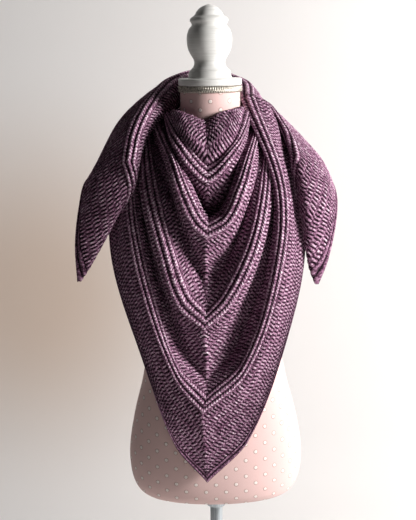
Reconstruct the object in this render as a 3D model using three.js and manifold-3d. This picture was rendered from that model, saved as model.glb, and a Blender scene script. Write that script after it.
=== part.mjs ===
// A hand-knitted triangle shawl worn point-down on a limbless dress form with a turned cap, pole and round base.
// Units are millimetres, +Z up, +X to the viewer's right, and the front faces -Y. The origin is the middle of the
// base's underside. Every table below gives its heights from the bottom of the neck's cap, which is at neckLevel.
import * as THREE from "three";
import Module from "manifold-3d";

const wasm = await Module();
wasm.setup();

// Driving dimensions
const neckLevel = 1228;
const shawlDepth = 800;
const clothHalf = 1.75; // half the plain cloth's thickness
const seamGap = 0.8; // between the cloth's stretches, above each shoulder
const formGap = 6.5; // between the cloth's inner side and the form
const pieceGap = 0.3; // between the form's stacked pieces
const mergeWithin = 0.2; // corners of a cloth wall nearer than this become one
const ribPitch = 9;
const ribHeight = 2.6;
const ribsPerBand = 3;
const bandWidth = ribPitch * ribsPerBand * Math.SQRT2;
const bandEnds = [119, 299, 479, 659];
const hemWidth = 22;
const hemHeight = 1.6;
const poleRadius = 12.5;
const baseRadius = 170;
const baseThickness = 14;

// Cloth colours and the form's finishes
const finishes = {
  wool: new THREE.MeshStandardMaterial({ color: 0x6d4a63, roughness: 0.95, metalness: 0 }),
  jersey: new THREE.MeshStandardMaterial({ color: 0xe9c3bf, roughness: 0.85, metalness: 0 }),
  paintedWood: new THREE.MeshStandardMaterial({ color: 0xe9e8e3, roughness: 0.5, metalness: 0 }),
  braid: new THREE.MeshStandardMaterial({ color: 0xb9b2a4, roughness: 0.6, metalness: 0.3 }),
  steel: new THREE.MeshStandardMaterial({ color: 0xb4bcc0, roughness: 0.25, metalness: 1 }),
  paintedSteel: new THREE.MeshStandardMaterial({ color: 0xe4e3de, roughness: 0.45, metalness: 0.1 }),
};

// The form's level sections: half width, depth in front and behind, all from the neck's axis. square is 2 for a
// round section and more for one with fuller corners
const formSections = [
  { z: -pieceGap, half: 57, front: 57, back: 57, square: 2 },
  { z: -40, half: 57.5, front: 57, back: 58, square: 2 },
  { z: -72, half: 60, front: 57, back: 62, square: 2 },
  { z: -94, half: 72, front: 58, back: 69, square: 2 },
  { z: -110, half: 98, front: 60, back: 76, square: 2 },
  { z: -126, half: 132, front: 64, back: 84, square: 2.1 },
  { z: -146, half: 163, front: 72, back: 91, square: 2.2 },
  { z: -172, half: 177, front: 82, back: 97, square: 2.2 },
  { z: -215, half: 180, front: 92, back: 100, square: 2.2 },
  { z: -270, half: 176, front: 101, back: 99, square: 2.2 },
  { z: -330, half: 168, front: 106, back: 93, square: 2.2 },
  { z: -400, half: 149, front: 97, back: 84, square: 2.2 },
  { z: -485, half: 130, front: 84, back: 76, square: 2.2 },
  { z: -568, half: 141, front: 91, back: 87, square: 2.2 },
  { z: -640, half: 159, front: 98, back: 99, square: 2.2 },
  { z: -710, half: 171, front: 102, back: 108, square: 2.2 },
  { z: -758, half: 170, front: 101, back: 107, square: 2.2 },
  { z: -792, half: 160, front: 93, back: 99, square: 2.2 },
  { z: -811, half: 142, front: 79, back: 85, square: 2.2 },
  { z: -821, half: 112, front: 58, back: 62, square: 2.2 },
];
const formSegments = 36;

// The front stretch, one row for each fold line that runs down one arm, over the spine and up the other. t is its
// distance down the spine of the flat cloth and tip is where it crosses the spine. left and right are how far out
// each arm is at armHeights of its rise, and leftEnd and rightEnd are where it meets the neck edge or the shoulder.
// depth is how long an arm stays forward, and fold is how far it sinks back beside the spine.
const armHeights = [0, 0.12, 0.4, 0.7, 1];
const frontFolds = [
  { t: 6, tip: [-10, -64, -65], left: [-12, -16, -20], right: [-8, -5, -2],
    leftEnd: [-24, -62, -61], rightEnd: [2, -61, -57], depth: 1.6, fold: 0 },
  { t: 30, tip: [-9, -80, -76], left: [-15, -25, -34], right: [-3, 6, 14],
    leftEnd: [-42, -54, -54], rightEnd: [20, -54, -46], depth: 1.8, fold: 0 },
  { t: 55, tip: [-8, -99, -100], left: [-18, -36, -50], right: [2, 18, 32],
    leftEnd: [-60, -42, -48], rightEnd: [41, -41, -42], depth: 2, fold: 0 },
  { t: 72, tip: [-8, -110, -128], left: [-20, -42, -60], right: [6, 31, 47],
    leftEnd: [-71, -30, -47], rightEnd: [56, -28, -40], depth: 2.2, fold: 0 },
  { t: 81, tip: [-8, -105, -142], left: [-20, -39, -59], right: [13, 38, 53],
    leftEnd: [-75, -24, -50], rightEnd: [64, -22, -47], depth: 2.4, fold: 0 },
  { t: 119, tip: [-8, -121, -180], left: [-27, -54, -73], right: [12, 38, 58],
    leftEnd: [-83, -8, -60], rightEnd: [74, -6, -63], depth: 2.6, fold: 0 },
  { t: 150, tip: [-8, -112, -214], left: [-16, -40, -63], right: [17, 39, 58],
    leftEnd: [-85, 0, -74], rightEnd: [74, 0, -74], depth: 3.2, fold: 4 },
  { t: 178, tip: [-7, -103, -240], left: [-14, -36, -60], right: [10, 33, 52],
    leftEnd: [-88, 0, -82], rightEnd: [75, 0, -82], depth: 3.7, fold: 7 },
  { t: 206, tip: [-6, -106, -264], left: [-14, -34, -58], right: [8, 32, 52],
    leftEnd: [-92, 0, -85], rightEnd: [79, 0, -84], depth: 3.8, fold: 4 },
  { t: 230, tip: [-6, -124, -257], left: [-17, -36, -62], right: [18, 38, 56],
    leftEnd: [-97, 0, -81], rightEnd: [82, 0, -80], depth: 3.6, fold: 4 },
  { t: 250, tip: [-7, -133, -240], left: [-20, -41, -66], right: [23, 42, 60],
    leftEnd: [-101, 0, -76], rightEnd: [84, 0, -78], depth: 3.2, fold: 2 },
  { t: 262, tip: [-8, -140, -245], left: [-22, -45, -70], right: [24, 44, 63],
    leftEnd: [-105, 0, -72], rightEnd: [87, 0, -77], depth: 3.1, fold: 0 },
  { t: 299, tip: [-12, -147, -274], left: [-37, -61, -77], right: [28, 57, 75],
    leftEnd: [-110, 0, -70], rightEnd: [93, 0, -80], depth: 3.1, fold: 0 },
  { t: 336, tip: [-14, -132, -314], left: [-34, -62, -79], right: [28, 60, 81],
    leftEnd: [-111, 0, -85], rightEnd: [95, 0, -88], depth: 3.5, fold: 20 },
  { t: 372, tip: [-14, -124, -347], left: [-38, -65, -84], right: [22, 60, 80],
    leftEnd: [-113, 0, -90], rightEnd: [97, 0, -91], depth: 3.9, fold: 30 },
  { t: 410, tip: [-14, -131, -382], left: [-33, -66, -91], right: [18, 57, 82],
    leftEnd: [-117, 0, -86], rightEnd: [99, 0, -89], depth: 3.5, fold: 10 },
  { t: 441, tip: [-13, -138, -411], left: [-45, -76, -100], right: [20, 64, 88],
    leftEnd: [-121, 0, -78], rightEnd: [101, 0, -86], depth: 3.2, fold: 0 },
  { t: 479, tip: [-19, -141, -446], left: [-66, -99, -126], right: [29, 80, 106],
    leftEnd: [-131, 0, -76], rightEnd: [105, 0, -87], depth: 3.2, fold: 0 },
  { t: 520, tip: [-16, -127, -491], left: [-58, -101, -128], right: [28, 84, 111],
    leftEnd: [-134, 0, -86], rightEnd: [109, 0, -92], depth: 3.6, fold: 20 },
  { t: 572, tip: [-15, -119, -543], left: [-60, -104, -131], right: [38, 92, 113],
    leftEnd: [-138, 0, -92], rightEnd: [114, 0, -90], depth: 4.2, fold: 28 },
  { t: 597, tip: [-15, -124, -558], left: [-65, -108, -136], right: [46, 100, 119],
    leftEnd: [-141, 0, -90], rightEnd: [112, 0, -68], depth: 4.3, fold: 12 },
  { t: 621, tip: [-16, -130, -573], left: [-70, -112, -140], right: [53, 105, 119],
    leftEnd: [-144, 0, -84], rightEnd: [66, 0, -33], depth: 4, fold: 4 },
  { t: 659, tip: [-24, -133, -610], left: [-73, -127, -157], right: [56, 120, 139],
    leftEnd: [-153, 0, -84], rightEnd: [86, 0, -27], depth: 3.8, fold: 2 },
  { t: 704, tip: [-22, -124, -656], left: [-82, -140, -172], right: [64, 134, 150],
    leftEnd: [-162, 0, -98], rightEnd: [106, 0, -38], depth: 3.4, fold: 6 },
  { t: 750, tip: [-19, -122, -705], left: [-80, -142, -184], right: [64, 137, 166],
    leftEnd: [-176, 0, -112], rightEnd: [118, 0, -60], depth: 3.1, fold: 8 },
  { t: 800, tip: [-17, -121, -750], left: [-78, -137, -190], right: [62, 134, 172],
    leftEnd: [-187, 0, -126], rightEnd: [126, 0, -82], depth: 2.8, fold: 4 },
];
const frontColumns = 16; // from the spine to each shoulder
const foldOnset = 0.7; // below 1 makes an arm sink back sooner beside the spine
const spreadOfColumns = 1.3; // above 1 sets the columns closer at the spine

// Rows that the front wall is sampled at: plain rows between the ribbed bands, which add their own
const plainRows = [20, 30, 42, 55, 68, 134, 150, 164, 178, 192, 206, 218, 230, 245, 317, 336, 354, 372, 391, 410,
  426, 500, 520, 546, 572, 588, 605, 681, 704, 727, 750];

// The two tails go on from the front's shoulders, round the nape and forward over the other shoulder to their tips.
// along is the distance down the flat cloth's long edge from its middle. inner and outer are the edges of the ribbed
// band that the tail is folded on, tuck is how far the cloth turns under inside it, hem is the tail's bound edge,
// and bulge is how far the cloth between band and hem swells outwards.
const leftTail = {
  name: "shawl_tail_left",
  side: 1,
  stations: [
    { along: 150, inner: [66, 0, -33], outer: [86, 0, -27], hem: [126, 0, -82], tuck: [48, 0, -55], bulge: 4 },
    { along: 206, inner: [56, 44, -6], outer: [76, 54, -4], hem: [108, 64, -70], tuck: [8, 2, -42], bulge: 2 },
    { along: 282, inner: [0, 70, 15], outer: [0, 91, 17], hem: [0, 105, -58], tuck: [0, 2, -42], bulge: 5 },
    { along: 350, inner: [-56, 48, 6], outer: [-78, 60, 6], hem: [-142, 72, -84], tuck: [6, 4, -38], bulge: 12 },
    { along: 425, inner: [-94, -6, -26], outer: [-119, 4, -26], hem: [-186, 24, -106], tuck: [8, 4, -28], bulge: 14 },
    { along: 511, inner: [-129, -60, -84], outer: [-154, -54, -82], hem: [-214, 4, -160], tuck: [4, 14, -16],
      bulge: 16 },
    { along: 599, inner: [-148, -92, -166], outer: [-172, -86, -164], hem: [-240, -34, -182], tuck: [4, 12, -10],
      bulge: 14 },
    { along: 651, inner: [-174, -101, -217], outer: [-190, -98, -216], hem: [-250, -54, -222], tuck: [3, 8, -3],
      bulge: 10 },
    { along: 726, inner: [-212, -94, -288], outer: [-222, -93, -288], hem: [-258, -74, -290], tuck: [4, 5, 1],
      bulge: 6 },
    { along: 796, inner: [-247, -84, -355], outer: [-250, -84, -356], hem: [-258, -82, -360], tuck: [5, 0, 4],
      bulge: 1 },
  ],
};
const rightTail = {
  name: "shawl_tail_right",
  side: -1,
  stations: [
    { along: 150, inner: [-144, 0, -84], outer: [-153, 0, -84], hem: [-187, 0, -126], tuck: [6, 0, -12], bulge: 6 },
    { along: 224, inner: [-96, 60, -72], outer: [-108, 72, -76], hem: [-130, 98, -144], tuck: [8, -4, -22], bulge: 6 },
    { along: 310, inner: [-8, 113, -74], outer: [-6, 125, -80], hem: [-4, 138, -156], tuck: [0, -6, -20], bulge: 6 },
    { along: 385, inner: [58, 108, -36], outer: [68, 117, -42], hem: [92, 130, -146], tuck: [-2, -2, -12], bulge: 8 },
    { along: 440, inner: [100, 50, -15], outer: [115, 56, -19], hem: [166, 76, -134], tuck: [-2, 4, -10], bulge: 14 },
    { along: 496, inner: [137, 0, -60], outer: [153, 4, -62], hem: [213, 26, -152], tuck: [0, 6, -14], bulge: 14 },
    { along: 556, inner: [151, -45, -112], outer: [167, -41, -115], hem: [235, -6, -186], tuck: [-1, 10, -12],
      bulge: 18 },
    { along: 619, inner: [160, -80, -178], outer: [176, -74, -182], hem: [243, -32, -214], tuck: [-3, 10, -8],
      bulge: 16 },
    { along: 675, inner: [170, -92, -238], outer: [182, -88, -240], hem: [238, -50, -256], tuck: [-2, 3, -2],
      bulge: 11 },
    { along: 759, inner: [184, -92, -326], outer: [191, -90, -327], hem: [217, -68, -330], tuck: [-4, 4, 1],
      bulge: 5 },
    { along: 796, inner: [190, -88, -366], outer: [193, -88, -367], hem: [200, -86, -371], tuck: [-4, 0, 2],
      bulge: 1 },
  ],
};
const tailSteps = 26;
const tailStart = 572; // t of the front's last trough, where the tail's tuck begins
const bulgeAt = 730; // t of the fullest line between band and hem
const tailRows = [572, 588, 604, 682, 706, 730, 754];
const bulgeRise = 0.6; // how far upwards the bulge swells for each step outwards

// Turned profiles, as radius and height pairs
const capHeight = 29;
const capProfile = [[0, 0], [59, 0], [60.5, 2], [60.5, 11], [59, 13], [42, 13.5], [41, 16], [40, 24], [38, capHeight],
  [0, capHeight]];
const finialFoot = capHeight + pieceGap;
const finialProfile = [[0, finialFoot], [36, finialFoot], [32, 34], [29.5, 40], [30, 47], [35, 56], [40, 66], [42.8, 80],
  [42.5, 92], [39, 104], [33, 113], [36.5, 121], [34, 126], [28, 130], [23, 138], [14, 146], [0, 151]];
const braidProfile = [[58.1, -13], [59.6, -12], [60.4, -8], [59.4, -6.5], [60.4, -5], [59.6, -1], [58.1, -pieceGap]];
const turnedSegments = 24;

// A smooth curve through values at rising keys, or falling ones, with tangents from the neighbours on either side
function smoothThrough(keys, values, at) {
  const way = Math.sign(keys[1] - keys[0]);
  let i = 0;
  while (i < keys.length - 2 && keys[i + 1] * way < at * way) {
    i++;
  }
  const tangent = (n) => {
    const before = Math.max(n - 1, 0);
    const after = Math.min(n + 1, keys.length - 1);
    return (values[after] - values[before]) / (keys[after] - keys[before]);
  };
  const span = keys[i + 1] - keys[i];
  const u = (at - keys[i]) / span;
  return (2 * u ** 3 - 3 * u ** 2 + 1) * values[i] + (u ** 3 - 2 * u ** 2 + u) * span * tangent(i)
    + (3 * u ** 2 - 2 * u ** 3) * values[i + 1] + (u ** 3 - u ** 2) * span * tangent(i + 1);
}

function formAt(z) {
  const levels = formSections.map((section) => section.z);
  const at = THREE.MathUtils.clamp(z, levels.at(-1), levels[0]);
  const column = (name) => smoothThrough(levels, formSections.map((section) => section[name]), at);
  return { half: column("half"), front: column("front"), back: column("back"), square: column("square") };
}

// How far a point lies outside the form, as a share of the form's size there
function outsideForm(point) {
  const section = formAt(point.z);
  const depth = point.y < 0 ? section.front : section.back;
  const x = Math.abs(point.x) / section.half;
  const y = Math.abs(point.y) / depth;
  return (x ** section.square + y ** section.square) ** (1 / section.square) - 1;
}

// Moves a point of the cloth square to the form's surface until it clears the form
function clearOfForm(point) {
  const probe = 0.5;
  for (let turn = 0; turn < 4 && point.z > formSections.at(-1).z; turn++) {
    const here = outsideForm(point);
    const slope = new THREE.Vector3(...["x", "y", "z"].map((axis) => {
      const beside = point.clone();
      beside[axis] += probe;
      return (outsideForm(beside) - here) / probe;
    }));
    const short = clothHalf + formGap - here / slope.length();
    if (short > 0) {
      point.addScaledVector(slope.normalize(), short);
    }
  }
  return point;
}

// How far the ribs of the knitted bands stand up at t, three to a band
function ribLift(t) {
  const band = bandEnds.find((end) => t > end - bandWidth && t < end);
  return band ? ribHeight * Math.abs(Math.sin((Math.PI * (t - band)) / (ribPitch * Math.SQRT2))) : 0;
}

// The t of each rib's top and each furrow in one band
function bandRows(end) {
  const rows = [];
  for (let n = 0; n <= 2 * ribsPerBand; n++) {
    rows.push(end - bandWidth + (n * bandWidth) / (2 * ribsPerBand));
  }
  return rows;
}

const hemRows = [shawlDepth - hemWidth, shawlDepth - hemWidth / 2, shawlDepth];

function hemLift(t) {
  return t > hemRows[0] && t < hemRows[2] ? hemHeight : 0;
}

// A point of the front stretch: side is -1 on the left and 1 on the right, and s runs from the spine to the shoulder
function frontPoint(side, s, t) {
  const keys = frontFolds.map((fold) => fold.t);
  const at = (pick) => smoothThrough(keys, frontFolds.map(pick), t);
  const arm = side < 0 ? "left" : "right";
  const tip = [0, 1, 2].map((n) => at((fold) => fold.tip[n]));
  const end = [0, 1, 2].map((n) => at((fold) => fold[arm + "End"][n]));
  const outs = [tip[0], ...[0, 1, 2].map((n) => at((fold) => fold[arm][n])), end[0]];
  const up = s ** spreadOfColumns;
  const sink = at((fold) => fold.fold) * Math.sin(Math.PI * up ** foldOnset);
  return clearOfForm(new THREE.Vector3(
    smoothThrough(armHeights, outs, up),
    THREE.MathUtils.lerp(tip[1], end[1], up ** at((fold) => fold.depth)) + sink,
    THREE.MathUtils.lerp(tip[2], end[2], up),
  ));
}

function frontGrid() {
  const rowKeys = [...plainRows, ...bandEnds.flatMap(bandRows), ...hemRows].sort((a, b) => a - b);
  return rowKeys.map((t) => {
    const row = [];
    for (let c = -frontColumns; c <= frontColumns; c++) {
      row.push({ point: frontPoint(c < 0 ? -1 : 1, Math.abs(c) / frontColumns, t), t });
    }
    return row;
  });
}

// One station of a tail as five points of its section, from the tuck to the hem
function tailSection(station) {
  const inner = new THREE.Vector3(...station.inner);
  const outer = new THREE.Vector3(...station.outer);
  const hem = new THREE.Vector3(...station.hem);
  const tuck = inner.clone().add(new THREE.Vector3(...station.tuck));
  const full = outer.clone().lerp(hem, 0.5);
  const away = new THREE.Vector3(full.x, full.y, 0).normalize().setZ(bulgeRise).normalize();
  return [tuck, inner, outer, full.addScaledVector(away, station.bulge), hem];
}

function tailGrid(tail) {
  const sections = tail.stations.map(tailSection);
  const lines = [0, 1, 2, 3, 4].map((n) => new THREE.CatmullRomCurve3(sections.map((section) => section[n])));
  const band = bandEnds.at(-1);
  const keys = [tailStart, band - bandWidth, band, bulgeAt, shawlDepth];
  const rowKeys = [...tailRows, ...bandRows(band), ...hemRows].sort((a, b) => a - b);
  const stationKeys = tail.stations.map((station, n) => n / (tail.stations.length - 1));
  return rowKeys.map((key) => {
    const row = [];
    for (let step = 0; step <= tailSteps; step++) {
      const points = lines.map((line) => line.getPoint(step / tailSteps));
      const at = (axis) => smoothThrough(keys, points.map((point) => point[axis]), key);
      const along = smoothThrough(stationKeys, tail.stations.map((station) => station.along), step / tailSteps);
      const edge = Math.max(tailStart, along);
      const t = THREE.MathUtils.mapLinear(key, tailStart, shawlDepth, edge, shawlDepth);
      const point = new THREE.Vector3(at("x"), at("y") + (step === 0 ? seamGap : 0), at("z"));
      row.push({ point: clearOfForm(point), t });
    }
    return row;
  });
}

// The outward normal at a grid point. Where the cloth is cut at a shoulder seam it stays in the seam's plane
function gridNormal(grid, i, j, side, seams) {
  const at = (r, c) => grid[THREE.MathUtils.clamp(r, 0, grid.length - 1)][
    THREE.MathUtils.clamp(c, 0, grid[0].length - 1)].point;
  const down = at(i + 1, j).clone().sub(at(i - 1, j));
  const across = at(i, j + 1).clone().sub(at(i, j - 1));
  const normal = down.cross(across).multiplyScalar(side);
  if (seams.includes(j) && Math.abs(at(i, j).y) < seamGap * 2) {
    normal.y = 0;
  }
  return normal.normalize();
}

// The outer or inner side of a cloth wall at one row of its grid. Ribs raise the outer side, and the inner is plain
function wallRow(grid, i, side, seams, face) {
  return grid[i].flatMap((cell, j) => {
    const lift = face > 0 ? ribLift(cell.t) + hemLift(cell.t) : 0;
    return cell.point.clone().addScaledVector(gridNormal(grid, i, j, side, seams), face * clothHalf + lift).toArray();
  });
}

// The faces of a closed strip of wall between two rows. Its corners are numbered outer row, next outer row, inner
// row and next inner row
function stripFaces(columns, side) {
  const index = [];
  const quad = (a, b, c, d) => (side > 0 ? index.push(a, c, b, a, d, c) : index.push(a, b, c, a, c, d));
  const outer = (i, j) => i * columns + j;
  const inner = (i, j) => (i + 2) * columns + j;
  for (let j = 0; j < columns - 1; j++) {
    quad(outer(0, j), outer(0, j + 1), outer(1, j + 1), outer(1, j));
    quad(inner(0, j), inner(1, j), inner(1, j + 1), inner(0, j + 1));
    quad(inner(0, j), inner(0, j + 1), outer(0, j + 1), outer(0, j));
    quad(outer(1, j + 1), inner(1, j + 1), inner(1, j), outer(1, j));
  }
  quad(inner(0, 0), outer(0, 0), outer(1, 0), inner(1, 0));
  quad(outer(0, columns - 1), inner(0, columns - 1), inner(1, columns - 1), outer(1, columns - 1));
  return index;
}

// A closed cloth wall on a grid of points, joined from a strip for each two rows. Folds that press on each other
// merge where they meet, and a pocket that they close is filled
function clothWall(grid, side, seams) {
  const faces = stripFaces(grid[0].length, side);
  const outer = grid.map((row, i) => wallRow(grid, i, side, seams, 1));
  const inner = grid.map((row, i) => wallRow(grid, i, side, seams, -1));
  const strips = grid.slice(1).map((row, i) => new wasm.Manifold(new wasm.Mesh({
    numProp: 3,
    vertProperties: new Float32Array([...outer[i], ...outer[i + 1], ...inner[i], ...inner[i + 1]]),
    triVerts: new Uint32Array(faces),
  })));
  const bodies = wasm.Manifold.union(strips).simplify(mergeWithin).decompose();
  const wall = bodies.sort((a, b) => b.volume() - a.volume())[0].getMesh();
  return indexedGeometry(wall.vertProperties, Array.from(wall.triVerts));
}

function indexedGeometry(positions, index) {
  const geometry = new THREE.BufferGeometry();
  geometry.setAttribute("position", new THREE.Float32BufferAttribute(positions, 3));
  geometry.setIndex(index);
  geometry.computeVertexNormals();
  return geometry;
}

// The form's body through its level sections, closed at the neck's top and underneath
function formBody() {
  const positions = [];
  const index = [];
  formSections.forEach((section) => {
    for (let n = 0; n < formSegments; n++) {
      const angle = (2 * Math.PI * n) / formSegments;
      const round = (v) => Math.sign(v) * Math.abs(v) ** (2 / section.square);
      const depth = Math.sin(angle) < 0 ? section.front : section.back;
      positions.push(section.half * round(Math.cos(angle)), depth * round(Math.sin(angle)), section.z);
    }
  });
  for (let i = 0; i < formSections.length - 1; i++) {
    for (let n = 0; n < formSegments; n++) {
      const next = (n + 1) % formSegments;
      const a = i * formSegments + n;
      const b = i * formSegments + next;
      index.push(a, a + formSegments, b + formSegments, a, b + formSegments, b);
    }
  }
  for (const [level, up] of [[0, true], [formSections.length - 1, false]]) {
    const middle = positions.length / 3;
    positions.push(0, 0, formSections[level].z);
    for (let n = 0; n < formSegments; n++) {
      const a = level * formSegments + n;
      const b = level * formSegments + ((n + 1) % formSegments);
      index.push(...(up ? [middle, a, b] : [middle, b, a]));
    }
  }
  return indexedGeometry(positions, index);
}

// A turned piece: the lathe's axis is set along +Z
function turned(profile) {
  const closed = profile[0][0] > 0 ? [...profile, profile[0]] : profile;
  const points = closed.map(([radius, z]) => new THREE.Vector2(radius, z));
  return new THREE.LatheGeometry(points, turnedSegments).rotateX(Math.PI / 2);
}

function piece(name, geometry, finish, z = neckLevel) {
  const mesh = new THREE.Mesh(geometry, finish);
  mesh.name = name;
  mesh.position.z = z;
  return mesh;
}

const torsoBottom = neckLevel + formSections.at(-1).z;
const socketHeight = 24;
const poleLength = torsoBottom - socketHeight - baseThickness - 2 * pieceGap;
const socketProfile = [[0, -socketHeight], [17, -socketHeight], [20, 3 - socketHeight], [22, -4], [30, -pieceGap],
  [0, -pieceGap]];
const poleProfile = [[0, 0], [poleRadius, 0], [poleRadius, poleLength], [0, poleLength]];
const baseProfile = [[0, 0], [baseRadius - 2, 0], [baseRadius, 3], [baseRadius, 8], [baseRadius - 6, 11],
  [60, baseThickness], [0, baseThickness]];

const shawl = new THREE.Group();
shawl.add(piece("shawl_front", clothWall(frontGrid(), 1, [0, 2 * frontColumns]), finishes.wool));
for (const tail of [leftTail, rightTail]) {
  shawl.add(piece(tail.name, clothWall(tailGrid(tail), tail.side, [0]), finishes.wool));
}

const form = new THREE.Group();
form.add(piece("form_body", formBody(), finishes.jersey));
form.add(piece("form_neck_braid", turned(braidProfile), finishes.braid));
form.add(piece("form_neck_cap", turned(capProfile), finishes.paintedWood));
form.add(piece("form_finial", turned(finialProfile), finishes.paintedWood));
form.add(piece("stand_socket", turned(socketProfile), finishes.steel, torsoBottom));
form.add(piece("stand_pole", turned(poleProfile), finishes.steel, baseThickness + pieceGap));
form.add(piece("stand_base", turned(baseProfile), finishes.paintedSteel, 0));

const part = new THREE.Group();
part.add(form, shawl);
export default part;
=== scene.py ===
import math
import random
import bmesh
import bpy
import numpy as np
from mathutils import Matrix, Vector


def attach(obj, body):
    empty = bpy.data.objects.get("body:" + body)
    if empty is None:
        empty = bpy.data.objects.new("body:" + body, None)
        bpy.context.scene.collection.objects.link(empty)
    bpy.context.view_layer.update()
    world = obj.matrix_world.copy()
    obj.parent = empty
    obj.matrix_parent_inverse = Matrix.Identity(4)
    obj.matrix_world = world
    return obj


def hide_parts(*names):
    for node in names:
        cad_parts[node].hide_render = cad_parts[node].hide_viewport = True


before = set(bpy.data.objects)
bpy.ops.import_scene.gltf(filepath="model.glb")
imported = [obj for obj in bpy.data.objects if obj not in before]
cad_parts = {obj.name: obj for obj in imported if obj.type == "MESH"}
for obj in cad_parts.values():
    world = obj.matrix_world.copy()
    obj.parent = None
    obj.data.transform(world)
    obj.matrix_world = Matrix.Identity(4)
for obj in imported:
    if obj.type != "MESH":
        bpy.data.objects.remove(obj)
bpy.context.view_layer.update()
scene = bpy.context.scene
mm = 0.001
root2 = math.sqrt(2)
print("frame loaded")


# sRGB hex to the linear colour that the shaders take
def linearColour(code):
    parts = [int(code[i:i + 2], 16) / 255 for i in (1, 3, 5)]
    return [c / 12.92 if c <= 0.04045 else ((c + 0.055) / 1.055) ** 2.4 for c in parts] + [1]


# one node: its own settings, a colour ramp's stops among them, then its inputs as numbers, colours or links
def addNode(tree, kind, settings, inputs):
    node = tree.nodes.new(kind)
    for name, value in settings.items():
        if name == "stops":
            while len(node.color_ramp.elements) < len(value):
                node.color_ramp.elements.new(0.5)
            for element, (place, code) in zip(node.color_ramp.elements, value):
                element.position = place
                element.color = linearColour(code)
        else:
            setattr(node, name, value)
    for name, value in inputs.items():
        if isinstance(value, bpy.types.NodeSocket):
            tree.links.new(value, node.inputs[name])
        else:
            node.inputs[name].default_value = value
    return node


def newMaterial(name, **surface):
    material = bpy.data.materials.new(name)
    material.use_nodes = True
    tree = material.node_tree
    shader = tree.nodes["Principled BSDF"]
    for socket, value in surface.items():
        shader.inputs[socket.replace("_", " ")].default_value = value
    return material, tree, shader


# writes a finished mesh as one piece, hangs it on the root body and hides the solid of the same form in its
# place
def finishPiece(bm, name, material, node):
    mesh = bpy.data.meshes.new(name)
    bm.to_mesh(mesh)
    bm.free()
    mesh.polygons.foreach_set("use_smooth", [True] * len(mesh.polygons))
    mesh.materials.append(material)
    piece = bpy.data.objects.new(name, mesh)
    scene.collection.objects.link(piece)
    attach(piece, "root")
    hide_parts(node)
    print(name, "faces", len(mesh.polygons))
    return piece


# height in millimetres of the bottom of the neck's cap, from which cloth and form are measured
neckLevel = 1228

# level, half width, depth in front, depth behind, squareness of the section
formSections = np.array([
    (-0.3, 57, 57, 57, 2), (-40, 57.5, 57, 58, 2), (-72, 60, 57, 62, 2), (-94, 72, 58, 69, 2),
    (-110, 98, 60, 76, 2), (-126, 132, 64, 84, 2.1), (-146, 163, 72, 91, 2.2), (-172, 177, 82, 97, 2.2),
    (-215, 180, 92, 100, 2.2), (-270, 176, 101, 99, 2.2), (-330, 168, 106, 93, 2.2), (-400, 149, 97, 84, 2.2),
    (-485, 130, 84, 76, 2.2), (-568, 141, 91, 87, 2.2), (-640, 159, 98, 99, 2.2), (-710, 171, 102, 108, 2.2),
    (-758, 170, 101, 107, 2.2), (-792, 160, 93, 99, 2.2), (-811, 142, 79, 85, 2.2), (-821, 112, 58, 62, 2.2),
])

shawl = {
    "depth": 800,         # from the middle of the long edge to the point, laid flat
    "thickness": 3.5,
    "clearance": 8.25,    # middle of the cloth to the form
    "cell": 1.85,         # spacing of the mesh along a row of knitting
    "ropeCell": 2.1,      # spacing across the rows in bands and hem
    "barCell": 3.4,       # and between them
    "bandEnds": (119, 299, 479, 659),
    "ropePitch": 9,
    "ropesPerBand": 3,
    "ropeHeight": 4.0,
    "hemWidth": 15.6,
    "hemRopeHeight": 2.6,
    "bandArch": 3.5,      # how far a band's middle stands out
    "barPitch": 7.2,      # furrow to furrow along a row
    "barsPerZone": 8,     # bars end to end between two bands
    "barHeight": 3.2,
    "blockRound": 0.55,   # a low value ends a bar suddenly, a high one slowly
    "blockDip": 0.35,     # share of its height that a bar loses at its ends
    "frontLean": -0.25,   # how far bars lean along their row for each mm across it
    "tailLean": -0.75,
    "tailCells": 100,     # cells of the mesh across a tail
    "innerAngle": 13,     # flatness in degrees that the plain wrong side may lose
}
bandWidth = shawl["ropePitch"] * shawl["ropesPerBand"]
zoneWidth = (shawl["bandEnds"][1] - shawl["bandEnds"][0]) / root2
barLength = (zoneWidth - bandWidth) / shawl["barsPerZone"]

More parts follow.
